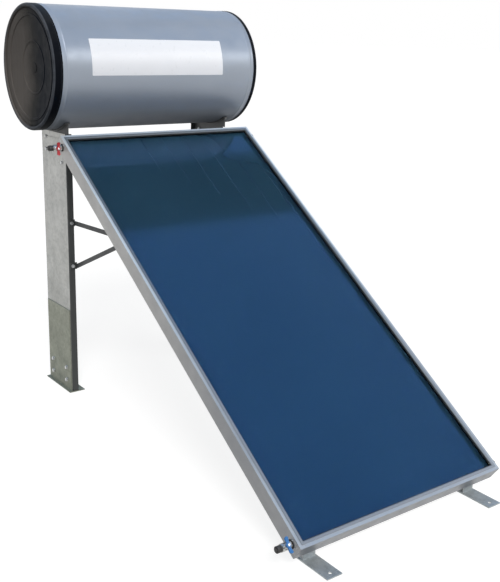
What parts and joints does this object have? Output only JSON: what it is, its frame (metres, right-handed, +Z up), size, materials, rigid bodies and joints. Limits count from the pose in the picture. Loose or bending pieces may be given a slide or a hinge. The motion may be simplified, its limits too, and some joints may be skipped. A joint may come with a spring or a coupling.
{
  "type": "solar water heater",
  "caption": "Thermosiphon solar water heater: horizontal storage tank above a tilted glazed flat-plate collector, on a galvanised steel stand.",
  "frame": {"origin": "on the ground at the centre of the anchor holes in the feet", "axes": "+Z up, +X along the tank axis, -Y towards the low edge of the collector"},
  "size_m": [1.119, 2.314, 1.8343],
  "materials": {
    "casing": "mill-finish extruded aluminium",
    "solar_glass": "low-iron tempered glass",
    "black_rubber": "EPDM rubber",
    "blue_absorber": "blue selective coating on aluminium sheet",
    "copper": "copper tube",
    "mineral_wool": "mineral wool slab",
    "back_sheet": "embossed aluminium sheet",
    "black_plastic": "black moulded plastic",
    "tank_paint": "satin grey powder coat",
    "enamel_steel": "enamelled steel",
    "foam": "rigid polyurethane foam",
    "label_white": "blank white plate",
    "zinc": "zinc plated steel",
    "brass": "brass",
    "anode_metal": "magnesium alloy",
    "galvanised": "galvanised sheet steel",
    "foot_steel": "galvanised plate steel",
    "dark_steel": "dark grey painted steel",
    "nickel_brass": "nickel plated brass",
    "chrome_ball": "chrome plated brass",
    "red_plastic": "red plastic",
    "blue_plastic": "blue plastic"
  },
  "bodies": {
    "heater": {"frame_left": "casing", "frame_right": "casing", "frame_top": "casing", "frame_bottom": "casing", "glass": "solar_glass", "glass_gasket": "black_rubber", "absorber_plate": "blue_absorber", "riser_tubes": "copper", "header_top": "copper", "header_bottom": "copper", "header_grommets": "black_rubber", "collector_insulation": "mineral_wool", "back_sheet": "back_sheet", "header_plugs": "black_plastic", "tank_shell": "tank_paint", "inner_tank": "enamel_steel", "tank_insulation": "foam", "end_cap_left": "black_plastic", "end_cap_right": "black_plastic", "label_plate": "label_white", "service_cover": "black_plastic", "cover_screws": "zinc", "tank_ports": "brass", "port_plugs": "black_plastic", "anode_rod": "anode_metal", "leg_web_left": "galvanised", "leg_web_right": "galvanised", "leg_flanges_left": "dark_steel", "leg_flanges_right": "dark_steel", "rear_foot_left": "foot_steel", "rear_foot_right": "foot_steel", "saddle_left": "dark_steel", "saddle_right": "dark_steel", "saddle_pads": "black_rubber", "rail_left": "galvanised", "rail_right": "galvanised", "rail_clips": "foot_steel", "front_foot_left": "foot_steel", "front_foot_right": "foot_steel", "strut_upper_left": "dark_steel", "strut_upper_right": "dark_steel", "strut_lower_left": "dark_steel", "strut_lower_right": "dark_steel", "strut_spacers": "zinc", "cross_bars": "galvanised", "cross_bar_top": "galvanised", "collector_clamps": "foot_steel", "stand_bolts_left": "zinc", "stand_bolts_right": "zinc", "cross_bolts": "zinc", "hot_valve_body": "nickel_brass", "hot_valve_plug": "black_plastic", "cold_valve_body": "nickel_brass", "cold_valve_plug": "black_plastic"},
    "hot_handle": {"hot_valve_handle": "red_plastic", "hot_valve_ball": "chrome_ball"},
    "cold_handle": {"cold_valve_handle": "blue_plastic", "cold_valve_ball": "chrome_ball"}
  },
  "joints": [
    {"name": "hot_valve_turn", "type": "hinge", "parent": "heater", "child": "hot_handle", "pos_m": [-0.543, 0.76129, 1.22189], "axis": [0, -1, 0], "range_deg": [0, 90]},
    {"name": "cold_valve_turn", "type": "hinge", "parent": "heater", "child": "cold_handle", "pos_m": [-0.543, -0.91036, 0.09859], "axis": [0, -0.766, 0.6428], "range_deg": [0, 90]}
  ]
}
